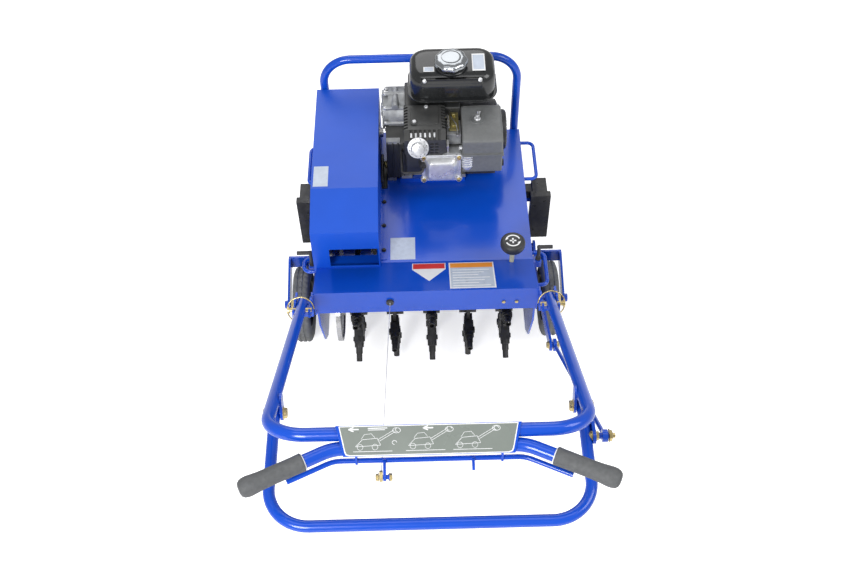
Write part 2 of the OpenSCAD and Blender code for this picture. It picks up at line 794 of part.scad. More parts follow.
module lock_pin(s) placed() color(ZINC) mirror([s < 0 ? 1 : 0, 0, 0]) {
    p = fold + 40 * handle_dir;
    xrod(5, 266, 318, p);
    xrod(8, 318, 323, p);
    // Round wire keeper that snaps over the tube
    translate([291.5, p[0], p[1]]) rotate([90 - handle_tilt, 0, 0])
        rotate_extrude(start = -48, angle = 224) translate([31, 0]) circle(r = 1.6);
}
module lock_pin_left() lock_pin(-1);
module lock_pin_right() lock_pin(1);

module lift_loop() placed() color(BLUE) {
    drop = atan2(5, 232);
    difference() {
        translate([0, loop_axis[0], loop_axis[1]]) rotate([180 + drop, 0, 0])
            translate([0, -10, 0]) u_tube(584, 242.4, 76, loop_d, 2);
        both() xrod(6.02, 270, 310, loop_axis);
    }
    // Stud that carries the link rod
    difference() {
        slab(303, 309) strip2d(loop_link + [-2, 0], loop_link + [22, 0], 26);
        translate([292, loop_link[0] - 40, 641.5]) rotate([-90, 0, 0])
            cylinder(r = 10.9, h = 100);
    }
    xrod(6, 300, 334, loop_link);
    hex_x(17, 334, 340, loop_link);
}

module link_rod() placed() color(BLUE) {
    top = [326, loop_link[0], loop_link[1]];
    low = [300, bell_link[0], bell_link[1]];
    difference() {
        union() {
            strut(top, low, 4.6);
            xrod(12, 321, 331, loop_link);
            xrod(15, 296, 303.5, bell_link);
        }
        xrod(6.05, 310, 340, loop_link);
        xrod(9.5, 290, 310, bell_link);
    }
}

// ---- Controls on the deck ----

module lift_lock_knob() placed() color(BLACK) translate([214, 134, 0]) {
    translate([0, 0, 319]) cylinder(r = 6, h = 84);
    translate([0, 0, 402]) cylinder(r = 27, h = 4);
    translate([0, 0, 406]) cylinder(r = 30, h = 16);
    translate([0, 0, 422]) cylinder(r1 = 30, r2 = 26, h = 4);
}

module latch_lever(s) placed() color(BLACK) mirror([s < 0 ? 1 : 0, 0, 0]) {
    translate([281, 146, 312]) cylinder(r = 4.5, h = 73);
    translate([281, 146, 340.3]) cylinder(r = 7, h = 5);
    translate([281, 146, 385]) sphere(r = 5.6);
    translate([281, 146, 385]) rotate([0, 90, 0]) cylinder(r = 5, h = 33);
}
module latch_lever_left() latch_lever(-1);
module latch_lever_right() latch_lever(1);

module deck_bolts() placed() color(ZINC) {
    for (x = [186, 217]) translate([x, flange_y, 352]) rotate([90, 0, 0]) {
        cylinder(d = 9, h = 3, $fn = 6);
        translate([0, 0, -10]) cylinder(r = 3.15, h = 10);
    }
    for (x = [-48.3, 104.5], y = [440, 540]) translate([x, y, deck_rail + 10])
        cylinder(d = 13, h = 7, $fn = 6);
}

side_plates();
front_panel();
deck();
front_bar();
belt_cover();
lift_handles();
side_weights();
handle_brackets();
bearings();
drive_bracket();
front_axle();
cable_grommet();
deck_bolts();
crankcase();
cylinder_barrel();
valve_cover();
fuel_tank();
air_cleaner();
carburettor();
muffler_guard();
exhaust_deflector();
starter_housing();
gearbox();
fuel_cap();
air_cleaner_nut();
throttle_lever();
choke_lever();
starter_grip();
drive_pulley();
idler_arm();
idler_pulley();
drive_belt();
jackshaft();
drive_chain();
reel_shaft();
tine_discs();
tine_holders();
tines();
reel_sprocket();
lift_frame();
rear_tyre_left();
rear_tyre_right();
rear_rim_left();
rear_rim_right();
front_wheel_left();
front_wheel_right();
lift_bellcrank();
lift_loop();
link_rod();
handle_frame();
handlebar();
handle_plate();
grips();
clutch_bail();
clutch_cable();
lock_pin_left();
lock_pin_right();
lift_lock_knob();
latch_lever_left();
latch_lever_right();
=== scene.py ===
import json
from math import acos, atan2, cos, degrees, pi, radians, sin, tau

import bmesh
import bpy
from mathutils import Matrix, Vector

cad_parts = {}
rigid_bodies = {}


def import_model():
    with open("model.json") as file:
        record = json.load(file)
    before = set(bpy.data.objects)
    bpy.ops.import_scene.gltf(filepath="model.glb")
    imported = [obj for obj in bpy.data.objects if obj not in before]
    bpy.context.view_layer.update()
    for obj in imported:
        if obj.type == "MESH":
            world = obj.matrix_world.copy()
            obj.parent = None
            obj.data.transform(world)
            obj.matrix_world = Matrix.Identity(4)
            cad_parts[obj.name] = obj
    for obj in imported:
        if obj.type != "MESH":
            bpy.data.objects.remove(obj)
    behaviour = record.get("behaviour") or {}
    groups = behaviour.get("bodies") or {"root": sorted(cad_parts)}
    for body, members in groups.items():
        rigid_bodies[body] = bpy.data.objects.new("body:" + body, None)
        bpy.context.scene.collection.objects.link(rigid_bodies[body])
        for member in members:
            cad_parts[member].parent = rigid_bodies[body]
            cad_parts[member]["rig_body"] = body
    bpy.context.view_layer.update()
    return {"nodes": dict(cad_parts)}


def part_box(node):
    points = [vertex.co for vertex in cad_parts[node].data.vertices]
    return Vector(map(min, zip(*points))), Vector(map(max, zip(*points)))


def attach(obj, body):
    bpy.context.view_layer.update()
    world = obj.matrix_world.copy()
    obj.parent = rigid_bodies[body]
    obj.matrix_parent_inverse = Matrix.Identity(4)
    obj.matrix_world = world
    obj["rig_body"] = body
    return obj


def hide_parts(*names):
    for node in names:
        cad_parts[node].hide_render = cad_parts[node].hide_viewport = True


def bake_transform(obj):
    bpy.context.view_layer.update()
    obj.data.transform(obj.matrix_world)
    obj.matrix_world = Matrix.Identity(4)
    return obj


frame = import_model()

NODES = frame["nodes"]

# Stations are the machine's own millimetres, as in part.scad. The deck's front edge, at
# station y = 608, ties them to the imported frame, which is centred on y = 0.
SHIFT_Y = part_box("deck")[1].y - 0.608
STATION = Matrix.Translation((0, SHIFT_Y, 0)) @ Matrix.Scale(0.001, 4)


def at(x, y, z, turn=None):
    """Local frame, in millimetres, whose origin is a station; turn is a rotation matrix."""
    return STATION @ Matrix.Translation((x, y, z)) @ (turn or Matrix.Identity(4))


def turn(axis, angle):
    return Matrix.Rotation(radians(angle), 4, axis)


FACE_LEFT = turn("Y", -90)   # local +Z points to -X
FACE_RIGHT = turn("Y", 90)   # local +Z points to +X


# ---- Materials ----

def surface(name, base, rough, metallic=0.0, coat=0.0, vary=0.1, grain=40.0, bump=0.05,
            bump_scale=900.0, rough_vary=0.1, dust=0.0, stretch=(1, 1, 1)):
    """Principled material with mottled colour, uneven gloss and a fine bump from its nodes."""
    mat = bpy.data.materials.new(name)
    mat.use_nodes = True
    nodes, links = mat.node_tree.nodes, mat.node_tree.links
    shader = nodes["Principled BSDF"]
    shader.inputs["Metallic"].default_value = metallic
    shader.inputs["Coat Weight"].default_value = coat
    shader.inputs["Coat Roughness"].default_value = 0.06
    place = nodes.new("ShaderNodeTexCoord")
    mapping = nodes.new("ShaderNodeMapping")
    mapping.inputs["Scale"].default_value = stretch
    links.new(place.outputs["Object"], mapping.inputs["Vector"])

    def noise(scale, detail):
        node = nodes.new("ShaderNodeTexNoise")
        node.inputs["Scale"].default_value = scale
        node.inputs["Detail"].default_value = detail
        links.new(mapping.outputs["Vector"], node.inputs["Vector"])
        return node.outputs["Fac"]

    def ramp(fac, low, high, start=0.3, end=0.7):
        node = nodes.new("ShaderNodeValToRGB")
        node.color_ramp.elements[0].position = start
        node.color_ramp.elements[1].position = end
        node.color_ramp.elements[0].color = (*low, 1)
        node.color_ramp.elements[1].color = (*high, 1)
        links.new(fac, node.inputs["Fac"])
        return node.outputs["Color"]

    dark = [c * (1 - vary) for c in base]
    light = [min(1, c * (1 + vary)) for c in base]
    colour = ramp(noise(grain, 5), dark, light)
    if dust:
        mix = nodes.new("ShaderNodeMix")
        mix.data_type = "RGBA"
        mix.inputs["B"].default_value = (0.42, 0.4, 0.37, 1)
        links.new(ramp(noise(grain * 0.35, 9), (0, 0, 0), (dust,) * 3, 0.45, 0.8),
                  mix.inputs["Factor"])
        links.new(colour, mix.inputs["A"])
        colour = mix.outputs["Result"]
    links.new(colour, shader.inputs["Base Color"])
    links.new(ramp(noise(grain * 0.6, 4), (max(0.02, rough - rough_vary),) * 3,
                   (min(1, rough + rough_vary),) * 3), shader.inputs["Roughness"])
    relief = nodes.new("ShaderNodeBump")
    relief.inputs["Strength"].default_value = bump
    relief.inputs["Distance"].default_value = 0.0006
    links.new(noise(bump_scale, 3), relief.inputs["Height"])
    links.new(relief.outputs["Normal"], shader.inputs["Normal"])
    return mat


MATS = {
    "blue": surface("blue_gloss_paint", (0.003, 0.068, 0.52), 0.2, coat=0.12, vary=0.05, grain=9,
                    bump=0.05, bump_scale=420, rough_vary=0.05),
    "cover_blue": surface("cover_blue_paint", (0.003, 0.075, 0.53), 0.42, coat=0.0, vary=0.05,
                          grain=9, bump=0.06, bump_scale=420, rough_vary=0.04),
    "black_paint": surface("black_satin_paint", (0.032, 0.033, 0.033), 0.4, vary=0.2, bump=0.1,
                           bump_scale=1400, dust=0.05),
    "plastic": surface("moulded_black_plastic", (0.028, 0.029, 0.031), 0.42, vary=0.15, grain=120,
                       bump=0.35, bump_scale=2600, dust=0.04),
    "tank": surface("gloss_black_tank", (0.014, 0.015, 0.016), 0.2, coat=0.25, vary=0.15,
                    bump=0.04, bump_scale=300, rough_vary=0.05),
    "cleaner": surface("cleaner_plastic", (0.14, 0.146, 0.148), 0.38, vary=0.08, grain=110,
                       bump=0.25, bump_scale=2600, dust=0.05),
    "alloy": surface("cast_alloy", (0.34, 0.35, 0.36), 0.5, metallic=0.5, vary=0.22, grain=70,
                     bump=0.55, bump_scale=1500, rough_vary=0.14),
    "bright_alloy": surface("bright_alloy", (0.66, 0.67, 0.69), 0.36, metallic=0.7, vary=0.14,
                            grain=60, bump=0.4, bump_scale=1300, rough_vary=0.12),
    "steel": surface("machined_steel", (0.5, 0.5, 0.51), 0.3, metallic=1.0, vary=0.15, grain=30,
                     bump=0.2, bump_scale=700, stretch=(1, 7, 7)),
    "zinc": surface("yellow_zinc_plate", (0.62, 0.5, 0.24), 0.3, metallic=0.95, vary=0.25,
                    grain=160, bump=0.15),
    "brass": surface("olive_brass", (0.36, 0.31, 0.13), 0.36, metallic=0.8, vary=0.25, grain=150,
                     bump=0.2),
    "pale_zinc": surface("pale_zinc_plate", (0.7, 0.66, 0.4), 0.38, metallic=0.25, vary=0.1,
                         grain=120, bump=0.1),
    "chrome": surface("chrome_plate", (0.4, 0.42, 0.44), 0.2, metallic=1.0, vary=0.03,
                      bump=0.02, rough_vary=0.02),
    "iron": surface("black_iron", (0.022, 0.022, 0.023), 0.34, metallic=0.2, vary=0.3, grain=90,
                    bump=0.5, bump_scale=900, dust=0.08),
    "tyre": surface("grey_tyre_rubber", (0.12, 0.125, 0.13), 0.72, vary=0.15, grain=60,
                    bump=0.4, bump_scale=1500, dust=0.22),
    "rubber": surface("black_rubber", (0.03, 0.03, 0.032), 0.6, vary=0.2, grain=120, bump=0.3,
                      bump_scale=2200, dust=0.05),
    "grip": surface("dark_grey_grip", (0.092, 0.096, 0.1), 0.6, vary=0.12, grain=140,
                    bump=0.5, bump_scale=2400, dust=0.04),
    "plate": surface("grey_decal", (0.19, 0.214, 0.194), 0.34, coat=0.2, vary=0.06, grain=20,
                     bump=0.03),
    "white": surface("white_print", (0.78, 0.79, 0.8), 0.4, vary=0.03, grain=50, bump=0.03),
    "amber": surface("amber_print", (0.75, 0.26, 0.02), 0.4, vary=0.04, grain=50, bump=0.03),
    "signal_red": surface("red_print", (0.62, 0.03, 0.02), 0.4, vary=0.04, grain=50, bump=0.03),
    "label": surface("blank_label", (0.46, 0.52, 0.62), 0.35, coat=0.2, vary=0.07, grain=90,
                     bump=0.05),
    "wire": surface("bright_wire", (0.62, 0.63, 0.64), 0.4, metallic=0.4, vary=0.08, bump=0.1),
    "dark": surface("shadowed_inside", (0.006, 0.006, 0.006), 0.8, vary=0.3, grain=60),
}


# ---- Mesh tools ----

def ring(points, frame_matrix, bm):
    return [bm.verts.new(frame_matrix @ Vector(p)) for p in points]


def loft(bm, rings, place, cap=True, closed=False):
    """Skins rings of points that all have the same count; closed joins the last to the first."""
    made = [ring(r, place, bm) for r in rings]
    n = len(made[0])
    pairs = list(zip(made, made[1:])) + ([(made[-1], made[0])] if closed else [])
    for a, b in pairs:
        for i in range(n):
            bm.faces.new((a[i], a[(i + 1) % n], b[(i + 1) % n], b[i]))
    if cap and not closed:
        bm.faces.new(made[0][::-1])
        bm.faces.new(made[-1])


def rounded(x0, x1, y0, y1, r, steps=6):
    """Plan outline with round corners, counter-clockwise from the +X side."""
    corners = ((x1 - r, y1 - r, 0), (x0 + r, y1 - r, 90), (x0 + r, y0 + r, 180),
               (x1 - r, y0 + r, 270))
    return [(cx + r * cos(radians(a + 90 * i / steps)), cy + r * sin(radians(a + 90 * i / steps)))
            for cx, cy, a in corners for i in range(steps + 1)]


def stack(bm, layers, place):
    """Loft of rounded rectangles, each given as (z, x0, x1, y0, y1, corner radius)."""
    loft(bm, [[(x, y, z) for x, y in rounded(x0, x1, y0, y1, r)]
              for z, x0, x1, y0, y1, r in layers], place)


def lathe(bm, profile, place, count=48, lobes=0, depth=0.0, cap=True, closed=False):
    """Turns (radius, z) points about local Z; lobes scallop the radius by depth."""
    rings = []
    for r, z in profile:
        points = []
        for i in range(count):
            a = tau * i / count
            rr = r * (1 + depth * cos(lobes * a)) if lobes else r
            points.append((rr * cos(a), rr * sin(a), z))
        rings.append(points)
    loft(bm, rings, place, cap, closed)


def block(bm, lo, hi, place):
    (x0, y0, z0), (x1, y1, z1) = lo, hi
    loft(bm, [[(x0, y0, z), (x1, y0, z), (x1, y1, z), (x0, y1, z)] for z in (z0, z1)], place)


def slab(bm, outline, x0, x1):
    """Side-view outline of [y, z] stations, from x0 to x1."""
    loft(bm, [[(x, y, z) for y, z in outline] for x in (x0, x1)], STATION)


def hex_bolt(bm, place, flats=13.0, height=5.0, washer=True):
    """Hexagon head with a chamfer, on its washer, facing local +Z."""
    r = flats / 2 / cos(pi / 6)
    base = 0.0
    if washer:
        lathe(bm, [(r * 1.12, 0), (r * 1.25, 0.3), (r * 1.25, 1.3), (r * 1.12, 1.6)], place, 20)
        base = 1.6
    loft(bm, [[(k * cos(tau * i / 6), k * sin(tau * i / 6), base + z) for i in range(6)]
              for k, z in ((r, 0), (r, height * 0.8), (r * 0.86, height))], place)


def tube(bm, path, radius, place=STATION, count=12, closed=False):
    """Sweeps a circle along a path of points, carrying its frame along without twist."""
    points = [Vector(p) for p in path]
    n = len(points)
    aims = []
    for i in range(n):
        before = points[(i - 1) % n] if closed or i else points[0]
        after = points[(i + 1) % n] if closed or i < n - 1 else points[-1]
        aims.append((after - before).normalized())
    side = aims[0].orthogonal().normalized()
    rings = []
    for i, (p, aim) in enumerate(zip(points, aims)):
        side = (side - aim * side.dot(aim)).normalized()
        up = aim.cross(side)
        r = radius[i] if isinstance(radius, (list, tuple)) else radius
        rings.append([p + r * (side * cos(tau * k / count) + up * sin(tau * k / count))
                      for k in range(count)])
    loft(bm, rings, place, closed=closed)


def smooth_path(corners, bend, steps=10):
    """Runs through corner points with round bends of the given radius."""
    points = [Vector(c) for c in corners]
    path = [points[0]]
    for a, b, c in zip(points, points[1:], points[2:]):
        u, v = (a - b).normalized(), (c - b).normalized()
        half = acos(max(-1, min(1, u.dot(v)))) / 2
        reach = bend * cos(half) / sin(half)
        centre = b + (u + v).normalized() * bend / sin(half)
        start, end = b + u * reach - centre, b + v * reach - centre
        swing = start.angle(end)
        for i in range(steps + 1):
            f = i / steps
            path.append(centre + (start * sin((1 - f) * swing) + end * sin(f * swing))
                        / sin(swing))
    return path + [points[-1]]


def body_of(node):
    return NODES[node]["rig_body"]


def piece(name, bm, finish, body, stands_for=(), bevel=0.0, segments=2, sharp=32):
    """Makes an object of a bmesh, with rounded edges, on a CAD body."""
    bmesh.ops.recalc_face_normals(bm, faces=bm.faces)
    if bevel:
        edges = [e for e in bm.edges if len(e.link_faces) == 2
                 and e.calc_face_angle(0) > radians(28)]
        bmesh.ops.bevel(bm, geom=edges, offset=bevel * 0.001, segments=segments, profile=0.5,
                        affect="EDGES", clamp_overlap=True)
    mesh = bpy.data.meshes.new(name)
    bm.to_mesh(mesh)
    bm.free()
    obj = bpy.data.objects.new(name, mesh)
    bpy.context.scene.collection.objects.link(obj)
    mesh.materials.append(MATS[finish])
    mesh.shade_smooth()
    mesh.set_sharp_from_angle(angle=radians(sharp))
    if bevel:
        obj.modifiers.new("flat_faces", "WEIGHTED_NORMAL").keep_sharp = True
    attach(obj, body)
    if stands_for:
        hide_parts(*stands_for)
    return obj


def softened(node, finish, bevel=1.0, segments=2, sharp=32):
    """The CAD node's own shape with rounded edges, in place of the node."""
    bm = bmesh.new()
    bm.from_mesh(NODES[node].data)
    bmesh.ops.remove_doubles(bm, verts=bm.verts, dist=3e-6)
    bmesh.ops.dissolve_limit(bm, angle_limit=radians(0.6), verts=bm.verts, edges=bm.edges)
    return piece("soft_" + node, bm, finish, body_of(node), (node,), bevel, segments, sharp)


def cut(obj, cutter):
    """Takes the shapes in a bmesh out of a piece."""
    bmesh.ops.recalc_face_normals(cutter, faces=cutter.faces)
    mesh = bpy.data.meshes.new("cutter")
    cutter.to_mesh(mesh)
    cutter.free()
    tool = bpy.data.objects.new("cutter", mesh)
    bpy.context.scene.collection.objects.link(tool)
    kept = obj.modifiers[:]
    change = obj.modifiers.new("cut", "BOOLEAN")
    change.object, change.solver, change.use_self = tool, "EXACT", True
    for other in kept:
        other.show_viewport = False
    bpy.context.view_layer.update()
    done = bpy.data.meshes.new_from_object(obj.evaluated_get(
        bpy.context.evaluated_depsgraph_get()))
    obj.modifiers.remove(change)
    for other in kept:
        other.show_viewport = True
    obj.data = done
    done.set_sharp_from_angle(angle=radians(32))
    bpy.data.objects.remove(tool)


def add(name, finish, body, build, **how):
    """Builds a piece from a function that draws into a fresh bmesh."""
    bm = bmesh.new()
    build(bm)
    return piece(name, bm, finish, body, **how)


# ---- Carried-over CAD nodes ----

FINISH = {
    "side_plates": "blue", "front_panel": "blue", "deck": "blue", "front_bar": "blue",
    "belt_cover": "cover_blue", "lift_handles": "blue", "side_weights": "iron",
    "handle_brackets": "blue", "bearings": "steel", "drive_bracket": "blue",
    "front_axle": "steel", "cable_grommet": "rubber", "deck_bolts": "zinc",
    "crankcase": "alloy", "cylinder_barrel": "alloy", "valve_cover": "bright_alloy",
    "fuel_tank": "tank", "air_cleaner": "cleaner", "carburettor": "alloy",
    "muffler_guard": "black_paint", "exhaust_deflector": "bright_alloy",
    "starter_housing": "plastic", "gearbox": "alloy", "fuel_cap": "chrome",
    "air_cleaner_nut": "steel", "throttle_lever": "brass", "choke_lever": "steel",
    "starter_grip": "rubber", "drive_pulley": "steel", "idler_arm": "steel",
    "idler_pulley": "plastic", "drive_belt": "rubber", "jackshaft": "steel",
    "drive_chain": "steel", "reel_shaft": "steel", "tine_discs": "iron",
    "tine_holders": "iron", "tines": "iron", "reel_sprocket": "steel", "lift_frame": "blue",
    "rear_tyre_left": "tyre", "rear_tyre_right": "tyre", "rear_rim_left": "plastic",
    "rear_rim_right": "plastic", "front_wheel_left": "tyre", "front_wheel_right": "tyre",
    "lift_bellcrank": "blue", "lift_loop": "blue", "link_rod": "blue", "handle_frame": "blue",
    "handlebar": "blue", "handle_plate": "blue", "grips": "grip", "clutch_bail": "blue",
    "clutch_cable": "rubber", "lock_pin_left": "zinc", "lock_pin_right": "zinc",
    "lift_lock_knob": "plastic", "latch_lever_left": "rubber", "latch_lever_right": "rubber",
}
for node, finish in FINISH.items():
    data = NODES[node].data
    data.materials.clear()
    data.materials.append(MATS[finish])

# Sheet metal and castings, given rounded edges
for node, bevel in {"deck": 1.2, "belt_cover": 2.6, "side_plates": 0.8, "front_panel": 0.8,
                    "side_weights": 1.5, "handle_brackets": 0.8, "crankcase": 5.0,
                    "gearbox": 2.0, "carburettor": 2.5, "lift_frame": 0.8,
                    "lift_bellcrank": 0.8, "handle_plate": 0.5, "rear_rim_left": 1.2,
                    "rear_rim_right": 1.2, "cylinder_barrel": 0.9, "throttle_lever": 0.5,
                    "choke_lever": 0.5}.items():
    softened(node, FINISH[node], bevel, sharp=11 if node in ("deck", "belt_cover") else 32)

# ---- Small fittings on the deck ----


def build_cover_flange(bm):
    block(bm, (-110, 150, 345.1), (-95, 392, 347.1), STATION)
    block(bm, (-110.6, 150, 347), (-108.6, 392, 372), STATION)


add("cover_flange", "blue", "chassis", build_cover_flange, bevel=0.5)


def build_cover_screws(bm):
    for y in (180, 262, 344):
        hex_bolt(bm, at(-102, y, 347.1), 8, 4)


add("cover_screws", "iron", "chassis", build_cover_screws)

# ---- Fuel tank and cap ----

TANK_X, TANK_Y = (-29, 188), (457, 588)
CAP = (76, 503)


def tank_layer(z, inset, r):
    return (z, TANK_X[0] + inset, TANK_X[1] - inset, TANK_Y[0] + inset, TANK_Y[1] - inset, r)


def build_tank(bm):
    stack(bm, [tank_layer(z, i, r) for z, i, r in (
        (568.5, 22, 20), (572, 13, 26), (580, 7, 32), (587, 3.5, 36), (602, 2, 37),
        (626, 1.6, 38), (641, 3, 38), (649, 6.5, 37), (655, 12.5, 34), (658.6, 21, 30),
        (660, 32, 24), (660.6, 45, 14))], STATION)


def build_tank_trim(bm):
    stack(bm, [tank_layer(z, i, 40) for z, i in ((584.4, 0.4), (585, -3), (587.4, -3.6),
                                                 (589.6, -3), (590.4, 0.4))], STATION)
    lathe(bm, [(37, 657), (37.5, 660.5), (35, 663), (31, 664), (30, 668)], at(*CAP, 0))
    # Pressed rib across the tank's rear shoulder
    stack(bm, [(z, 0 + i, 154 - i, 457.6 + i, 470 - i, 5) for z, i in
               ((640, 0), (650, 1), (654, 3))], STATION)


add("tank_shell", "tank", "chassis", build_tank, stands_for=("fuel_tank",), sharp=60)
add("tank_seam_and_neck", "tank", "chassis", build_tank_trim, sharp=50)


def build_tank_rivets(bm):
    for x in (10, 146):
        lathe(bm, [(5.5, 0), (5, 1.6), (3, 2.6), (0.5, 3)],
              at(x, 460.5, 650, turn("X", 60)), 18)


add("tank_rivets", "bright_alloy", "chassis", build_tank_rivets)


def build_cap(bm):
    lathe(bm, [(0.9, 0), (0.97, 1), (1.0, 3), (1.0, 8), (0.985, 11), (0.94, 14), (0.86, 16.6),
               (0.74, 18.4), (0.6, 19.2)],
          at(*CAP, 668.6, Matrix.Diagonal((40.6, 40.6, 1, 1))), 144, lobes=9, depth=0.03)
    lathe(bm, [(25, 18.6), (24, 19.6), (18, 20), (8, 20.2), (1, 20.2)], at(*CAP, 668.6), 72)


add("fuel_cap_shell", "chrome", "fuel_cap", build_cap, stands_for=("fuel_cap",), sharp=60)

# ---- Air cleaner ----

CLEANER = [(352, 441), (384, 438), (404, 453), (475, 500), (475, 553), (468, 560), (378, 560),
           (351, 547)]
CLEANER_STUD = (139, 420)


def build_cleaner(bm):
    slab(bm, CLEANER, 99, 200)


add("air_cleaner_case", "cleaner", "chassis", build_cleaner, stands_for=("air_cleaner",),
    bevel=7.5, segments=4, sharp=40)


def build_cleaner_trim(bm):
    slab(bm, [(348, 499), (470, 506), (475, 508), (475, 513), (348, 505)], 96.5, 202.5)
    lathe(bm, [(19.5, 559), (19.5, 561), (18.2, 562), (16.4, 561.4), (15.6, 560.4)],
          at(*CLEANER_STUD, 0), 44)


add("air_cleaner_seam", "cleaner", "chassis", build_cleaner_trim, bevel=0.7)


def build_cleaner_stud(bm):
    lathe(bm, [(11, 559.8), (11, 560.2), (10, 560.35)], at(*CLEANER_STUD, 0), 28)
    lathe(bm, [(2.9, 573), (2.9, 584), (2.2, 586)], at(*CLEANER_STUD, 0), 16)


add("air_cleaner_stud", "steel", "chassis", build_cleaner_stud)


def build_wing_nut(bm):
    lathe(bm, [(8.6, 560.5), (8.6, 562), (6.6, 564), (5.4, 571), (4.4, 573.4), (3, 573.6)],
          at(*CLEANER_STUD, 0), 28)
    for sign in (-1, 1):
        wing = [(3, 0), (8, 2), (13.5, 7.5), (14.5, 11.5), (12, 13.4), (8, 11.5), (3, 7.5)]
        loft(bm, [[(sign * a, w, 562.4 + b) for a, b in wing] for w in (-1.4, 1.4)],
             at(*CLEANER_STUD, 0, turn("Z", 58)))


add("wing_nut", "bright_alloy", "air_cleaner_nut", build_wing_nut,
    stands_for=("air_cleaner_nut",), bevel=0.5)

# ---- Silencer, its guard and the deflector ----

GUARD = [(352, 509), (438, 509), (447, 525), (466, 553), (466, 567), (459, 575), (370, 575),
         (350, 558)]
APRON = [(-40, 540), (-40, 492), (-30, 486), (26, 486), (56, 512), (56, 540)]
GUARD_BOLTS = ((12, 446), (-18, 394))
DEFLECTOR = at(-10, 350, 536, turn("X", 62))


def build_guard(bm):
    slab(bm, GUARD, -44, 59)
    loft(bm, [[(x, y, z) for x, z in APRON] for y in (350.6, 353)], STATION)


guard = add("guard_shell", "black_paint", "chassis", build_guard, stands_for=("muffler_guard",),
            bevel=4.5, segments=3, sharp=40)
slots = bmesh.new()
for i in range(9):
    for x, lean in ((-44, 24), (59, -24)):
        block(slots, (-11, -2.6, -13), (11, 2.6, 13), at(x, 374 + i * 10.4, 575, turn("Z", lean)))
SHOULDER = [at(-26 + i * 11.4, 359, 567, turn("X", 38)) for i in range(7)]
for place in SHOULDER:
    block(slots, (-3.6, -13, -7.5), (3.6, 13, 7.5), place)
for x in (12, 24, 36):
    for z in (514, 524, 534, 544):
        block(slots, (-4.5, -10, -1.8), (4.5, 6, 1.8), at(x, 350, z))
cut(guard, slots)
opening = bmesh.new()
lathe(opening, [(14.6, -15), (14.6, 5.5), (27.6, 5.6), (27.6, 40)], DEFLECTOR, 40)
cut(guard, opening)


def build_guard_trim(bm):
    stack(bm, [(574.4, -27, 42, 386, 456, 9), (576.4, -27, 42, 386, 456, 9),
               (577, -25.5, 40.5, 387.5, 454.5, 8)], STATION)
    for x, y in GUARD_BOLTS:
        lathe(bm, [(9.5, 576), (9.5, 578), (7, 578.4)], at(x, y, 0), 28)


add("guard_pressing", "black_paint", "chassis", build_guard_trim, bevel=0.7)


def build_can(bm):
    slab(bm, [(361, 516), (430, 516), (446, 540), (455, 552), (455, 562), (376, 566),
              (361, 552)], -36, 51)


add("silencer_can", "bright_alloy", "chassis", build_can, bevel=6, segments=3)


def build_can_showing(bm):
    """The can's bright shoulder, where it shows through the guard's rear slots."""
    for place in SHOULDER[:-1]:
        block(bm, (-2.9, -5.5, -7.4), (2.9, 6.5, -3.5), place)


add("silencer_shoulder", "bright_alloy", "chassis", build_can_showing, bevel=1.4, segments=3)


def build_guard_bolts(bm):
    for x, y in GUARD_BOLTS:
        hex_bolt(bm, at(x, y, 578), 9, 4.5, washer=False)


add("guard_bolts", "bright_alloy", "chassis", build_guard_bolts)


def build_deflector(bm):
    lathe(bm, [(13, 0), (14, 2), (17, 6), (25.5, 7.5), (26.6, 9), (25.5, 10.4), (19, 10.8),
               (16.6, 12), (15.8, 22), (14.6, 24.6), (11, 25.6), (1, 26)],
          DEFLECTOR, 64)


deflector = add("deflector_dish", "bright_alloy", "chassis", build_deflector,
                stands_for=("exhaust_deflector",), sharp=34)
holes = bmesh.new()
for i in range(12):
    lathe(holes, [(1.5, 4), (1.5, 16)],
          DEFLECTOR @ turn("Z", 30 * i + 15) @ Matrix.Translation((22, 0, 0)), 12)
cut(deflector, holes)

# ---- Cylinder head's rocker cover ----

CRANK = (490, 457)
BARREL = at(47, *CRANK, turn("X", 85))
ROCKER_BOLTS = [(x, y) for x in (-44, 44) for y in (-40, 30)]


def build_rocker(bm):
    stack(bm, [(138, -49, 49, -46, 36, 12), (143.6, -49, 49, -46, 36, 12),
               (144.4, -47, 47, -44, 34, 11)], BARREL)
    stack(bm, [(143, -42, 42, -39, 30, 14), (147, -41, 41, -38, 29, 14),
               (157, -35, 35, -33, 25, 13), (160.4, -32, 32, -30, 22, 12),
               (161.9, -27, 27, -25, 17, 9)], BARREL)
    for x, y in ROCKER_BOLTS:
        lathe(bm, [(8.6, 138), (8.6, 146.5), (7.4, 147.6)],
              BARREL @ Matrix.Translation((x, y, 0)), 24)


add("rocker_cover", "bright_alloy", "chassis", build_rocker, stands_for=("valve_cover",),
    bevel=0.7)


def build_rocker_bolts(bm):
    for x, y in ROCKER_BOLTS:
        hex_bolt(bm, BARREL @ Matrix.Translation((x, y, 147)), 8, 4.5)


add("rocker_bolts", "zinc", "chassis", build_rocker_bolts)

# ---- Recoil starter ----

CRANK_RIGHT = at(97, *CRANK, FACE_RIGHT)


def build_starter(bm):
    lathe(bm, [(79, 0), (80, 2), (80, 88), (78, 94), (73, 97), (54, 98.4), (52, 100), (52, 114),
               (50, 118.6), (45, 121), (33, 121), (30, 119), (2, 118)],
          CRANK_RIGHT, 72)
    slab(bm, [(430, 357), (550, 357), (550, 400), (430, 400)], 113, 190)


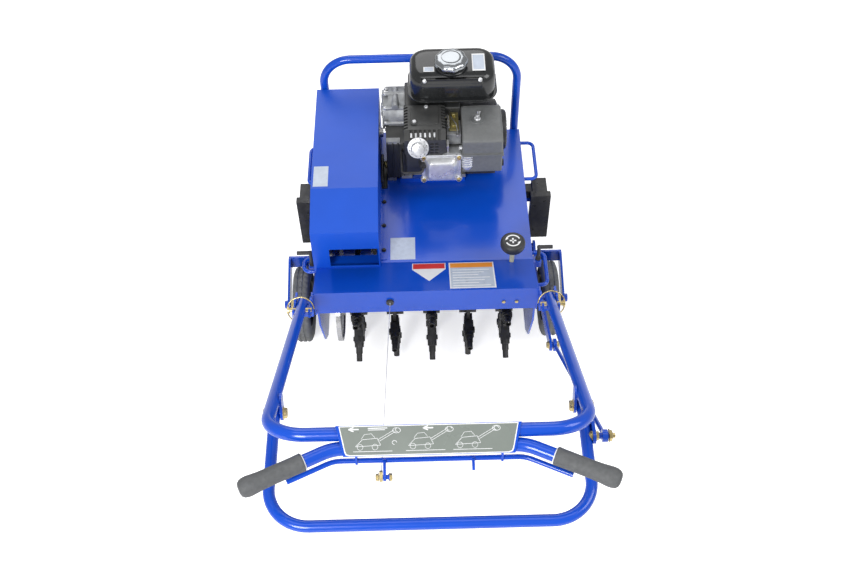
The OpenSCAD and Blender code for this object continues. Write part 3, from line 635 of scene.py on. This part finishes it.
starter = add("recoil_shell", "plastic", "chassis", build_starter,
              stands_for=("starter_housing",), sharp=30)
vents = bmesh.new()
for i in range(28):
    block(vents, (34, -1.7, 114), (47, 1.7, 134), CRANK_RIGHT @ turn("Z", i * 360 / 28))
for i in range(36):
    block(vents, (76, -1.4, 34), (86, 1.4, 74), CRANK_RIGHT @ turn("Z", i * 10))
lathe(vents, [(3.6, 0), (3.6, 92)], at(188, *CRANK, turn("X", 110)), 16)
cut(starter, vents)


def build_starter_bolts(bm):
    for i in range(3):
        hex_bolt(bm, CRANK_RIGHT @ turn("Z", 40 + i * 120) @ Matrix.Translation((66, 0, 97.4)),
                 8, 4)
    hex_bolt(bm, CRANK_RIGHT @ Matrix.Translation((0, 0, 118)), 10, 3)


add("recoil_bolts", "bright_alloy", "chassis", build_starter_bolts)

# ---- Gearbox, engine feet and small fittings ----


GEAR_Y, GEAR_Z = 530, 500
GEAR = at(-98, GEAR_Y, GEAR_Z, FACE_LEFT)


def build_gearbox_ribs(bm):
    for a in range(0, 180, 36):
        block(bm, (-50, -2.2, -2.5), (50, 2.2, 3.0), GEAR @ turn("Z", a))
    lathe(bm, [(18, 0), (18, 4.6), (15, 6)], GEAR, 32)
    for x in (-72, -60):
        block(bm, (x - 1.5, 494, 538), (x + 1.5, 544, 553), STATION)
    tube(bm, [(-66, 480, 548), (-66, 552, 548)], 9, count=20)


add("gearbox_ribs", "alloy", "chassis", build_gearbox_ribs, bevel=0.9)


def build_gearbox_bolts(bm):
    for i in range(8):
        a = radians(45 * i)
        hex_bolt(bm, at(-90, GEAR_Y + 52 * cos(a), GEAR_Z + 52 * sin(a), FACE_LEFT), 8, 4)


add("gearbox_bolts", "bright_alloy", "chassis", build_gearbox_bolts)


def build_shield(bm):
    slab(bm, [(423, 357), (427, 400), (438, 462), (456, 482), (481, 492), (500, 470), (500, 357)],
         -92.4, -43)
    for x in (-90, -76, -62, -48):
        slab(bm, [(419, 358), (423, 402), (434, 466), (440, 466), (430, 402), (430, 358)],
             x - 2, x + 2)
    slab(bm, [(394, 350), (394, 372), (400, 380), (488, 380), (495, 372), (495, 350)], -109, -103)
    slab(bm, [(394, 345.2), (495, 345.2), (495, 349), (394, 349)], -109, -94)


add("gearbox_shield", "black_paint", "chassis", build_shield, bevel=1.2)


def build_brass(bm):
    fitting = at(-96, 462, 372, turn("X", 90))
    hex_bolt(bm, fitting, 10, 8)
    lathe(bm, [(4, 6), (4, 14), (3, 15)], fitting, 16)
    slab(bm, [(393, 546), (458, 544), (461, 547), (458, 550), (393, 550)], 69, 92)
    lathe(bm, [(8, 0), (8, 3), (6, 4)], at(80, 412, 550), 24)
    lathe(bm, [(5, 0), (5, 6), (3.5, 7)], at(80, 446, 549), 16)


add("linkage_brass", "brass", "chassis", build_brass, bevel=0.5)


def build_linkage(bm):
    tube(bm, [(70, 452, 556), (73, 430, 560), (86, 404, 558), (90, 378, 545)], 1.3)
    tube(bm, [(62, 446, 540), (64, 470, 548), (80, 482, 556), (92, 470, 560)], 1.6)
    coil = [(66 + 3 * cos(i * 0.9), 392 + i * 0.7, 557 + 3 * sin(i * 0.9)) for i in range(70)]
    tube(bm, coil, 0.6, count=6)
    slab(bm, [(356, 500), (384, 504), (392, 520), (376, 534), (356, 530)], 61, 66)


add("throttle_linkage", "steel", "chassis", build_linkage)


def build_bowl(bm):
    place = at(112, 366, 0)
    profile = [(8, 448), (15, 450), (17, 456)]
    for k in range(5):
        z = 460 + k * 8
        profile += [(17, z), (19.5, z + 1.5), (19.5, z + 4.5), (17, z + 6)]
    lathe(bm, profile + [(17, 502), (12, 505)], place, 40)
    lathe(bm, [(6, 0), (6, 26)], at(92, 372, 508, FACE_RIGHT), 16)


add("carburettor_bowl", "bright_alloy", "chassis", build_bowl, sharp=40)


def build_plug(bm):
    lathe(bm, [(9, 118), (10, 121), (10, 142), (8, 147), (8, 152)],
          BARREL @ Matrix.Translation((-46, 8, 0)), 24)
    tube(bm, smooth_path([(1, 338, 474), (1, 326, 471), (-52, 334, 462), (-54, 420, 452),
                          (-46, 452, 440)], 9, 6), 3.2, count=10)


add("spark_lead", "rubber", "chassis", build_plug, sharp=40)


def build_shroud(bm):
    """Sheet shroud round the barrel, dark, between the silencer and the tank."""
    slab(bm, [(372, 424), (372, 500), (384, 507), (428, 507), (440, 528), (456, 548), (456, 566),
              (556, 566), (566, 556), (566, 470), (556, 420), (430, 404), (388, 404)], -41.5, 97.5)


shroud = add("engine_shroud", "black_paint", "chassis", build_shroud, bevel=3.5, segments=3)
opening = bmesh.new()
block(opening, (2, 360, 414), (92, 440, 496), STATION)
for i in range(5):
    block(opening, (-60, 448 + i * 12, 500), (-34, 453 + i * 12, 545), STATION)
cut(shroud, opening)


def build_dipstick(bm):
    lathe(bm, [(15, 0), (16, 2), (16, 12), (14, 14), (6, 14.6)],
          at(74, 572, 418, turn("X", -60)), 32, lobes=12, depth=0.03)


add("oil_cap", "plastic", "chassis", build_dipstick)

# ---- Wheels ----

REAR_X, REAR_AXLE, REAR_R = 328.5, (206, 101.6), 101.6
FRONT_X, FRONT_AXLE, FRONT_R = 200, (530, 75), 75


def tyre(x, y, z, r, width, hole, lugs):
    """Ring of tread blocks: outline round the tyre, its shoulders notched between lugs."""
    bm = bmesh.new()
    half = width / 2
    profile = [(hole, -half + 5), (hole + 3, -half + 2.5), (r - 24, -half), (r - 12, -half + 0.4),
               (r - 3.5, -half + 4), (r, -half + 9), (r, -half * 0.42), (r - 3.2, -half * 0.36),
               (r - 3.2, -half * 0.22), (r, -half * 0.16)]
    profile += [(a, -b) for a, b in reversed(profile)]
    notched = {5, 6, 9, 10, 13, 14}
    rings = []
    count = lugs * 4
    for k in range(count):
        a = tau * k / count
        points = []
        for j, (radius, offset) in enumerate(profile):
            if j in notched and k % 4 == 0:
                radius -= 3.0
            points.append((radius * cos(a), radius * sin(a), offset))
        rings.append(points)
    loft(bm, rings, at(x, y, z, FACE_RIGHT), closed=True)
    return bm


for side, sign in (("left", -1), ("right", 1)):
    piece("tread_rear_" + side, tyre(sign * REAR_X, *REAR_AXLE, REAR_R, 44, 65.6, 36),
          "tyre", "rear_wheel_" + side, ("rear_tyre_" + side,), sharp=38)
    piece("tread_front_" + side, tyre(sign * FRONT_X, *FRONT_AXLE, FRONT_R, 40, 44, 28),
          "tyre", "front_wheel_" + side, ("front_wheel_" + side,), sharp=38)

    def build_hub(bm, sign=sign):
        place = at(sign * FRONT_X, *FRONT_AXLE, FACE_RIGHT)
        lathe(bm, [(8.6, -23), (18, -23), (19.5, -21), (19.5, -7), (24, -5), (38, -6), (41, -13),
                   (44.4, -15), (44.4, 15), (41, 13), (38, 6), (24, 5), (19.5, 7), (19.5, 21),
                   (18, 23), (8.6, 23)], place, 56, closed=True)

    add("hub_front_" + side, "plastic", "front_wheel_" + side, build_hub, sharp=30)

    def build_hub_bolts(bm, sign=sign):
        place = at(sign * REAR_X, *REAR_AXLE, FACE_RIGHT if sign > 0 else FACE_LEFT)
        for i in range(6):
            a = radians(i * 60)
            hex_bolt(bm, place @ Matrix.Translation((30 * cos(a), 30 * sin(a), 5)), 8, 4)
        # Tyre valve
        lathe(bm, [(2.6, 5), (2.6, 16), (3.4, 17), (3.4, 23), (2.4, 24)],
              place @ Matrix.Translation((0, 54, -4)), 14)

    add("rim_bolts_" + side, "steel", "rear_wheel_" + side, build_hub_bolts)

# ---- Grips ----

TUBE_R = 12.7
HORN_Y, HORN_Z, HORN_TURN = -603.14, 733.51, 25.8


def horn(sign):
    """Local frame at a grip's root, +Z along the swept-back end of the bar."""
    swing = turn("Z", -HORN_TURN if sign > 0 else 180 + HORN_TURN)
    return at(sign * 170, HORN_Y, HORN_Z) @ swing @ FACE_RIGHT


def build_grips(bm):
    for sign in (-1, 1):
        lathe(bm, [(13.0, 56), (16.2, 56), (16.9, 56.8), (16.6, 60), (16.3, 70), (16.2, 95),
                   (16.3, 122), (16.8, 138), (17.7, 148), (18.4, 156), (18.0, 163),
                   (16.2, 169), (12.6, 173), (7, 174.8), (1, 175)], horn(sign), 48)


add("grip_sleeves", "grip", "handle", build_grips, stands_for=("grips",), sharp=60)


def build_grip_rings(bm):
    for sign in (-1, 1):
        lathe(bm, [(12.75, 54), (14.6, 54), (14.6, 56.4), (12.75, 56.4)], horn(sign), 40,
              closed=True)


add("grip_rings", "white", "handle", build_grip_rings)

# ---- Bolts through the handle's tabs ----

PIVOT = (-13, 386)
LOOP_AXIS = (-471, 643)
LOOP_STUD = (-539, 645)
BAIL_ARM = (-640.14, 694.51)
LINK_LOW = (-106, 325)


def build_handle_bolts(bm):
    for sign, out, back in ((-1, FACE_LEFT, FACE_RIGHT), (1, FACE_RIGHT, FACE_LEFT)):
        hex_bolt(bm, at(sign * 305.5, *LOOP_AXIS, out), 18, 6.6)
        hex_bolt(bm, at(sign * 275.5, *LOOP_AXIS, back), 18, 6.6)


add("handle_bolts", "zinc", "handle", build_handle_bolts)


def build_pivot_bolts(bm):
    for sign, face in ((-1, FACE_LEFT), (1, FACE_RIGHT)):
        hex_bolt(bm, at(sign * 309.9, *PIVOT, face), 18, 6)


add("pivot_bolts", "zinc", "chassis", build_pivot_bolts)


def build_stud_nuts(bm):
    hex_bolt(bm, at(333.5, *LOOP_STUD, FACE_RIGHT), 18, 5.4)
    lathe(bm, [(5, 338), (5, 345), (4, 346)], at(0, *LOOP_STUD, FACE_RIGHT), 20)
    hex_bolt(bm, at(309.2, *LOOP_STUD, FACE_RIGHT), 15, 5)
    hex_bolt(bm, at(302.8, *LOOP_STUD, FACE_LEFT), 15, 5)


add("stud_nuts", "zinc", "lift_loop", build_stud_nuts)


def build_bail_bolt(bm):
    hex_bolt(bm, at(-71, *BAIL_ARM, FACE_RIGHT), 11.6, 3.6)
    hex_bolt(bm, at(-90, *BAIL_ARM, FACE_LEFT), 11, 4)
    slab(bm, [(-646, 688), (-635, 688), (-628, 697), (-634, 702), (-646, 699)], -89, -83)


add("bail_bolt", "zinc", "clutch_bail", build_bail_bolt)


def build_link_bolt(bm):
    hex_bolt(bm, at(304, *LINK_LOW, FACE_RIGHT), 15, 5)
    hex_bolt(bm, at(287, *LINK_LOW, FACE_LEFT), 14, 5)


add("link_bolt", "zinc", "lift_bellcrank", build_link_bolt)

# ---- Lock knob with its printed disc ----

KNOB = (214, 134)


def build_knob(bm):
    lathe(bm, [(24, 402), (27, 403), (28.5, 406), (29.8, 409), (30, 414), (30, 419), (29, 422.5),
               (26, 425.2), (22, 426), (1, 425.4)], at(*KNOB, 0), 80, lobes=40, depth=0.006)


add("knob_head", "plastic", "lift_lock_knob", build_knob, stands_for=("lift_lock_knob",),
    sharp=40)


def build_knob_rod(bm):
    lathe(bm, [(5, 319), (6, 320.5), (6, 396), (9, 397), (9, 402.5)], at(*KNOB, 0), 28)


add("knob_rod", "pale_zinc", "lift_lock_knob", build_knob_rod)


def build_knob_print(bm):
    """Two arcs with arrow heads round a cross: turn and pull, without any lettering."""
    place = at(*KNOB, 425.5)
    for start, end in ((20, 150), (200, 330)):
        steps = 14
        for k in range(steps):
            a, b = (radians(start + (end - start) * j / steps) for j in (k, k + 1))
            corners = ((15, a), (19, a), (19, b), (15, b))
            loft(bm, [[(r * cos(q), r * sin(q), z) for r, q in corners] for z in (0, 0.4)],
                 place)
        q = radians(end)
        tip = (17 * cos(q) - 8 * sin(q), 17 * sin(q) + 8 * cos(q))
        loft(bm, [[(12 * cos(q), 12 * sin(q), z), (22 * cos(q), 22 * sin(q), z), (*tip, z)]
                  for z in (0, 0.4)], place)
    block(bm, (-8, -2, 0), (8, 2, 0.4), place)
    block(bm, (-2, -8, 0), (2, 8, 0.4), place)


add("knob_print", "white", "lift_lock_knob", build_knob_print)

# ---- Labels: blank plates ----


def sticker(name, finish, corners, lift=0.4, border=None):
    """Thin plate over four stations, given counter-clockwise as seen from outside."""
    points = [Vector(c) for c in corners]
    up = (points[1] - points[0]).cross(points[3] - points[0]).normalized()

    def build(bm):
        loft(bm, [[p + up * h for p in points] for h in (0.02, lift)], STATION)

    add(name, finish, "chassis", build)
    if border:
        centre = sum(points, Vector()) / 4
        inner = [centre + (p - centre) * border for p in points]

        def build_face(bm):
            loft(bm, [[p + up * h for p in inner] for h in (lift, lift + 0.15)], STATION)

        add(name + "_face", "label", "chassis", build_face)


def flat_label(name, finish, x0, x1, y0, y1, z, **how):
    sticker(name, finish, [(x0, y0, z), (x1, y0, z), (x1, y1, z), (x0, y1, z)], **how)


def panel_z(y):
    """Height of the deck's sloped rear panel."""
    return 345 + (142 - y) * 55 / 136


def panel_label(name, finish, x0, x1, y0, y1, **how):
    sticker(name, finish, [(x0, y0, panel_z(y0)), (x1, y0, panel_z(y0)),
                           (x1, y1, panel_z(y1)), (x0, y1, panel_z(y1))], **how)


flat_label("deck_label", "label", -86, -24, 150, 222, 345)
flat_label("cover_label", "label", -268, -232, 254, 322, 505)
panel_label("panel_label_right", "white", 58, 168, 14, 132, border=0.94)
panel_label("panel_label_right_band", "amber", 61, 165, 108, 129, lift=0.7)
for line in range(7):
    panel_label(f"panel_label_right_line_{line}", "white", 66, 156 - 14 * (line % 3),
                96 - line * 12, 98.5 - line * 12, lift=0.8)


def panel_point(x, y, lift):
    """Point a little above the rear panel, along its normal."""
    return Vector((x, y, panel_z(y))) + Vector((0, 0.375, 0.927)) * lift


def build_shield_label(bm):
    outline = [(-32, 132), (-32, 104), (9, 50), (50, 104), (50, 132)]
    loft(bm, [[panel_point(x, y, h) for x, y in outline] for h in (0.02, 0.4)], STATION)


def build_shield_band(bm):
    outline = [(-30, 130), (-30, 106), (48, 106), (48, 130)]
    loft(bm, [[panel_point(x, y, h) for x, y in outline] for h in (0.4, 0.6)], STATION)


add("panel_label_left", "white", "chassis", build_shield_label)
add("panel_label_left_band", "signal_red", "chassis", build_shield_band)
flat_label("tank_label_right", "white", 128, 160, 482, 546, 660.6, border=0.84)
flat_label("tank_label_left", "white", 8, 34, 482, 500, 660.6, border=0.8)

# ---- Handle plate's marks ----

PLATE_TILT = degrees(atan2(13.1, 21.9))
PLATE = at(0, -592.19, 740.06, turn("X", PLATE_TILT))
PLATE_TOP = TUBE_R + 2.6


def decal(inset, z0, z1):
    """Rings of the decal's outline, tapered to the rear, its rear corners cut round."""
    side = 13 / 54
    front, rear = 26 - inset, -26 + inset
    a, b = 157.5 - inset - (27 - front) * side, 145.5 - inset
    outline = [(a, front), (-a, front), (-b - 2.2, rear + 7), (-b, rear + 2), (-b + 6, rear),
               (b - 6, rear), (b, rear + 2), (b + 2.2, rear + 7)]
    return [[(x, y, z) for x, y in outline] for z in (z0, z1)]


def build_border(bm):
    loft(bm, decal(0, PLATE_TOP - 0.1, PLATE_TOP + 0.1), PLATE)


def build_decal(bm):
    loft(bm, decal(1.7, PLATE_TOP, PLATE_TOP + 0.2), PLATE)


add("decal_border", "white", "handle", build_border)
add("decal_face", "plate", "handle", build_decal)


def build_marks(bm):
    """Arrows and outline drawings of the controls, without any lettering."""
    def line(points, w):
        for (x0, y0), (x1, y1) in zip(points, points[1:]):
            a, b = Vector((x0, y0, 0)), Vector((x1, y1, 0))
            side = Vector((-(b - a).y, (b - a).x, 0)).normalized() * w / 2
            loft(bm, [[(p.x, p.y, z) for p in (a - side, b - side, b + side, a + side)]
                      for z in (PLATE_TOP + 0.2, PLATE_TOP + 0.34)], PLATE)

    def hoop(x, y, rx, ry, w, start=0, end=360):
        line([(x + rx * cos(radians(a)), y + ry * sin(radians(a)))
              for a in range(start, end + 1, 30)], w)

    for x in (-138, -8):
        line([(x + 16, 20), (x, 20)], 2.2)
        line([(x + 7, 23.5), (x - 2, 20), (x + 7, 16.5)], 2)
    for x in (-98, -6, 76):
        line([(x - 30, -10), (x - 18, 2), (x + 8, 4), (x + 14, -8), (x - 30, -10)], 0.7)
        line([(x + 10, 2), (x + 38, 18)], 0.7)
        line([(x + 12, -1), (x + 40, 15)], 0.7)
        line([(x - 20, 3), (x - 14, 11), (x - 2, 12), (x + 4, 5)], 0.6)
        hoop(x - 22, -11, 5, 5, 0.6)
        hoop(x + 4, -11, 5, 5, 0.6)
        hoop(x + 42, 17, 7, 4.5, 0.8)
        line([(x - 34, -18.5), (x + 34, -18.5)], 0.9)
    for x, y in ((-54, 18), (-60, -4), (36, 18), (118, 17)):
        hoop(x, y, 4, 3.4, 0.9, 0, 270)
    line([(-106, 21.5), (-72, 21.5)], 1.6)
    line([(-106, 18.5), (-76, 18.5)], 1.2)


add("plate_marks", "white", "handle", build_marks)

# ---- Clutch cable ----

CABLE_TOP = Vector((-86, -634.1, 691.2))
CABLE_LOW = Vector((-86, -4, 362.5))


def build_cable(bm):
    path = [CABLE_TOP.lerp(CABLE_LOW, f / 40) for f in range(41)]
    under = smooth_path([(-86, 0, 362.5), (-86, 16, 362.5), (-87, 60, 345), (-88, 150, 331),
                         (-88, 430, 331), (-92, 535, 331), (-128, 548, 338), (-131, 533, 351),
                         (-129.3, 522, 353)], 6, 5)
    tube(bm, path + under, [0.8] * 41 + [1.7] * len(under), count=10)


bm = bmesh.new()
build_cable(bm)
bmesh.ops.recalc_face_normals(bm, faces=bm.faces)
mesh = bpy.data.meshes.new("cable_sheath")
bm.to_mesh(mesh)
bm.free()
mesh.materials.append(MATS["wire"])
mesh.shade_smooth()
cable = bpy.data.objects.new("cable_sheath", mesh)
bpy.context.scene.collection.objects.link(cable)
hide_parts("clutch_cable")
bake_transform(cable)

# ---- Stage: floor, light and camera ----

stage_mat = bpy.data.materials.new("pale_floor")
stage_mat.use_nodes = True
stage_shader = stage_mat.node_tree.nodes["Principled BSDF"]
stage_shader.inputs["Base Color"].default_value = (0.9, 0.9, 0.9, 1)
stage_shader.inputs["Roughness"].default_value = 0.9
stage_shader.inputs["Emission Color"].default_value = (1, 1, 1, 1)
floor_mesh = bpy.data.meshes.new("floor")
floor_mesh.from_pydata([(-12, -12, -0.001), (12, -12, -0.001), (12, 12, -0.001),
                        (-12, 12, -0.001)], [], [(0, 1, 2, 3)])
floor_mesh.materials.append(stage_mat)
floor = bpy.data.objects.new("floor", floor_mesh)
bpy.context.scene.collection.objects.link(floor)

world = bpy.data.worlds.new("studio")
world.use_nodes = True
world.node_tree.nodes["Background"].inputs["Color"].default_value = (1, 1, 1, 1)


def brighter_to_camera(tree, socket, base, extra):
    """Gives a strength of base, and base + extra where the camera sees the surface itself."""
    seen = tree.nodes.new("ShaderNodeLightPath")
    strength = tree.nodes.new("ShaderNodeMath")
    strength.operation = "MULTIPLY_ADD"
    strength.inputs[1].default_value, strength.inputs[2].default_value = extra, base
    tree.links.new(seen.outputs["Is Camera Ray"], strength.inputs[0])
    tree.links.new(strength.outputs["Value"], socket)


brighter_to_camera(world.node_tree, world.node_tree.nodes["Background"].inputs["Strength"],
                   0.42, 0.58)
brighter_to_camera(stage_mat.node_tree, stage_shader.inputs["Emission Strength"], 0.12, 0.48)
bpy.context.scene.world = world


def area_light(name, place, aim, size, watts):
    data = bpy.data.lights.new(name, "AREA")
    data.size, data.energy = size, watts
    lamp = bpy.data.objects.new(name, data)
    lamp.location = place
    lamp.rotation_euler = (Vector(aim) - Vector(place)).to_track_quat("-Z", "Y").to_euler()
    bpy.context.scene.collection.objects.link(lamp)
    return data


lamp = area_light("overhead_strip", (0, -0.3, 3.0), (0, -0.3, 0), 3.0, 12)
lamp.shape, lamp.size_y = "RECTANGLE", 0.7
area_light("key", (-1.4, -3.2, 2.6), (0, 0.1, 0.3), 1.4, 125)
area_light("fill", (2.6, -0.6, 2.8), (0, 0.1, 0.3), 1.6, 36)
area_light("front_box", (-0.3, 3.4, 3.2), (0, 0.2, 0.3), 3.0, 52)

camera_data = bpy.data.cameras.new("camera")
camera_data.sensor_width = 36
camera_data.lens = 36 * 1050 / 855
camera = bpy.data.objects.new("camera", camera_data)
camera.matrix_world = (Matrix.Translation((0.004, -1.5260 + SHIFT_Y, 2.349))
                       @ turn("X", 90 - 52) @ turn("Z", -1.46))
bpy.context.scene.collection.objects.link(camera)
bpy.context.scene.camera = camera
bpy.context.scene.view_settings.view_transform = "Standard"
